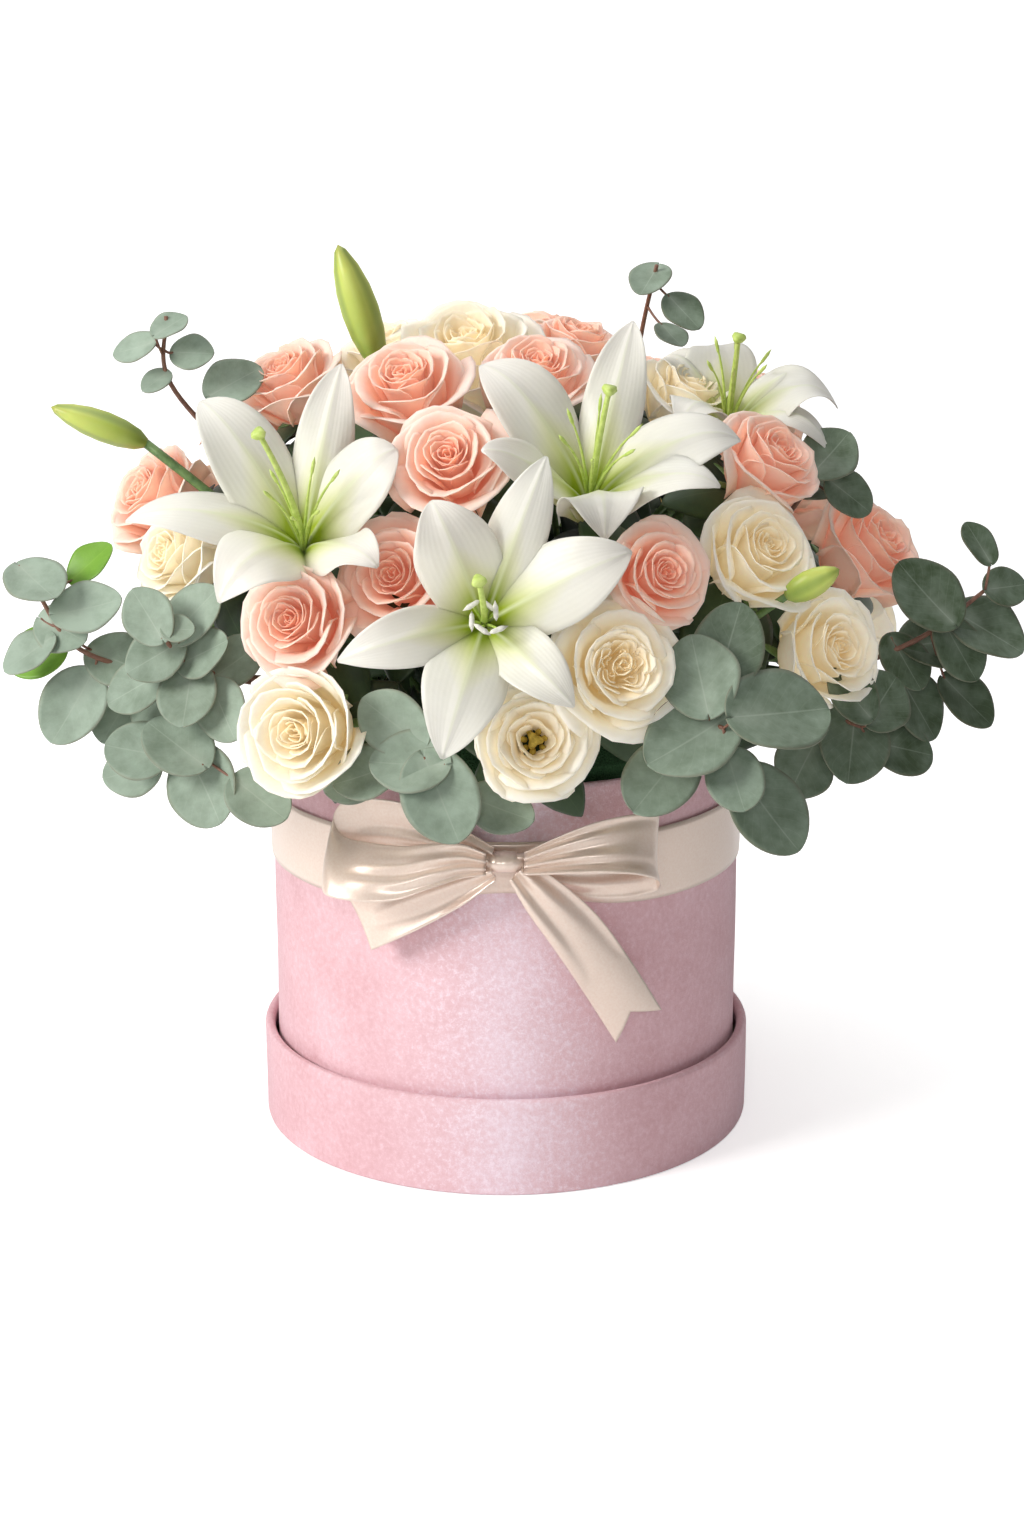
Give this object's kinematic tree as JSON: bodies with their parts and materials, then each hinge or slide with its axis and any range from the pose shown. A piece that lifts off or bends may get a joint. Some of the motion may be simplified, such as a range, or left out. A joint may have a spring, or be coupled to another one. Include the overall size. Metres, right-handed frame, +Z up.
{
  "type": "flower box",
  "caption": "Round velvet hat box standing in its own lid, tied with a satin ribbon bow, holding a domed arrangement of lilies, roses, lisianthus and eucalyptus.",
  "frame": {"origin": "centre of the tray's underside, on the surface that it stands on", "axes": "+Z up along the box's axis; -Y towards the bow, the front of the box; +X to the viewer's right"},
  "size_m": [0.4488, 0.3831, 0.4126],
  "materials": {
    "velvet": "pink velvet pile, soft and slightly crushed",
    "card": "plain rolled grey-brown card",
    "lining": "smooth pale lining paper",
    "satin": "champagne satin, soft gloss",
    "liner": "satin dark plastic",
    "foam": "open wet floral foam",
    "peach_petal": "soft petals, paler at the edges",
    "cream_petal": "soft petals, warmer in the folds",
    "lily_petal": "waxy petals with a green-yellow throat",
    "eucalyptus_leaf": "blue-green leaves with a waxy bloom, red-brown stems"
  },
  "bodies": {
    "tray": {"tray_card_disc": "card", "tray_card_rim": "card", "tray_velvet_band": "velvet", "tray_velvet_disc": "velvet"},
    "box": {"bow_knot": "satin", "bow_loop_left": "satin", "bow_loop_right": "satin", "bow_tail_left": "satin", "bow_tail_right": "satin", "box_base_card": "card", "box_card_wall": "card", "box_lining": "lining", "box_velvet_cover": "velvet", "ribbon_band": "satin"},
    "arrangement": {"cream_lisianthus": "cream_petal", "cream_rose_1": "cream_petal", "cream_rose_2": "cream_petal", "cream_rose_3": "cream_petal", "cream_rose_4": "cream_petal", "cream_rose_5": "cream_petal", "cream_rose_6": "cream_petal", "cream_rose_7": "cream_petal", "cream_rose_8": "cream_petal", "cream_spray_back_left": "cream_petal", "cream_spray_back_right": "cream_petal", "cream_spray_back_top": "cream_petal", "eucalyptus_back": "eucalyptus_leaf", "eucalyptus_back_left": "eucalyptus_leaf", "eucalyptus_back_right": "eucalyptus_leaf", "eucalyptus_front_left": "eucalyptus_leaf", "eucalyptus_front_right": "eucalyptus_leaf", "eucalyptus_left_far": "eucalyptus_leaf", "eucalyptus_left_lower": "eucalyptus_leaf", "eucalyptus_left_upper": "eucalyptus_leaf", "eucalyptus_right": "eucalyptus_leaf", "eucalyptus_right_lower": "eucalyptus_leaf", "eucalyptus_right_upper": "eucalyptus_leaf", "eucalyptus_top_left": "eucalyptus_leaf", "eucalyptus_top_right": "eucalyptus_leaf", "floral_foam": "foam", "lily_1": "lily_petal", "lily_2": "lily_petal", "lily_3": "lily_petal", "lily_4": "lily_petal", "lily_back": "lily_petal", "liner": "liner", "peach_rose_1": "peach_petal", "peach_rose_10": "peach_petal", "peach_rose_11": "peach_petal", "peach_rose_2": "peach_petal", "peach_rose_3": "peach_petal", "peach_rose_4": "peach_petal", "peach_rose_5": "peach_petal", "peach_rose_6": "peach_petal", "peach_rose_7": "peach_petal", "peach_rose_8": "peach_petal", "peach_rose_9": "peach_petal", "peach_spray_back_left": "peach_petal", "peach_spray_back_right": "peach_petal", "peach_spray_left": "peach_petal"}
  },
  "joints": [
    {"name": "box_lift", "type": "slide", "parent": "tray", "child": "box", "axis": [0, 0, 1], "range_m": [0, 0.08]},
    {"name": "arrangement_lift", "type": "slide", "parent": "box", "child": "arrangement", "axis": [0, 0, 1], "range_m": [0, 0.25]}
  ]
}
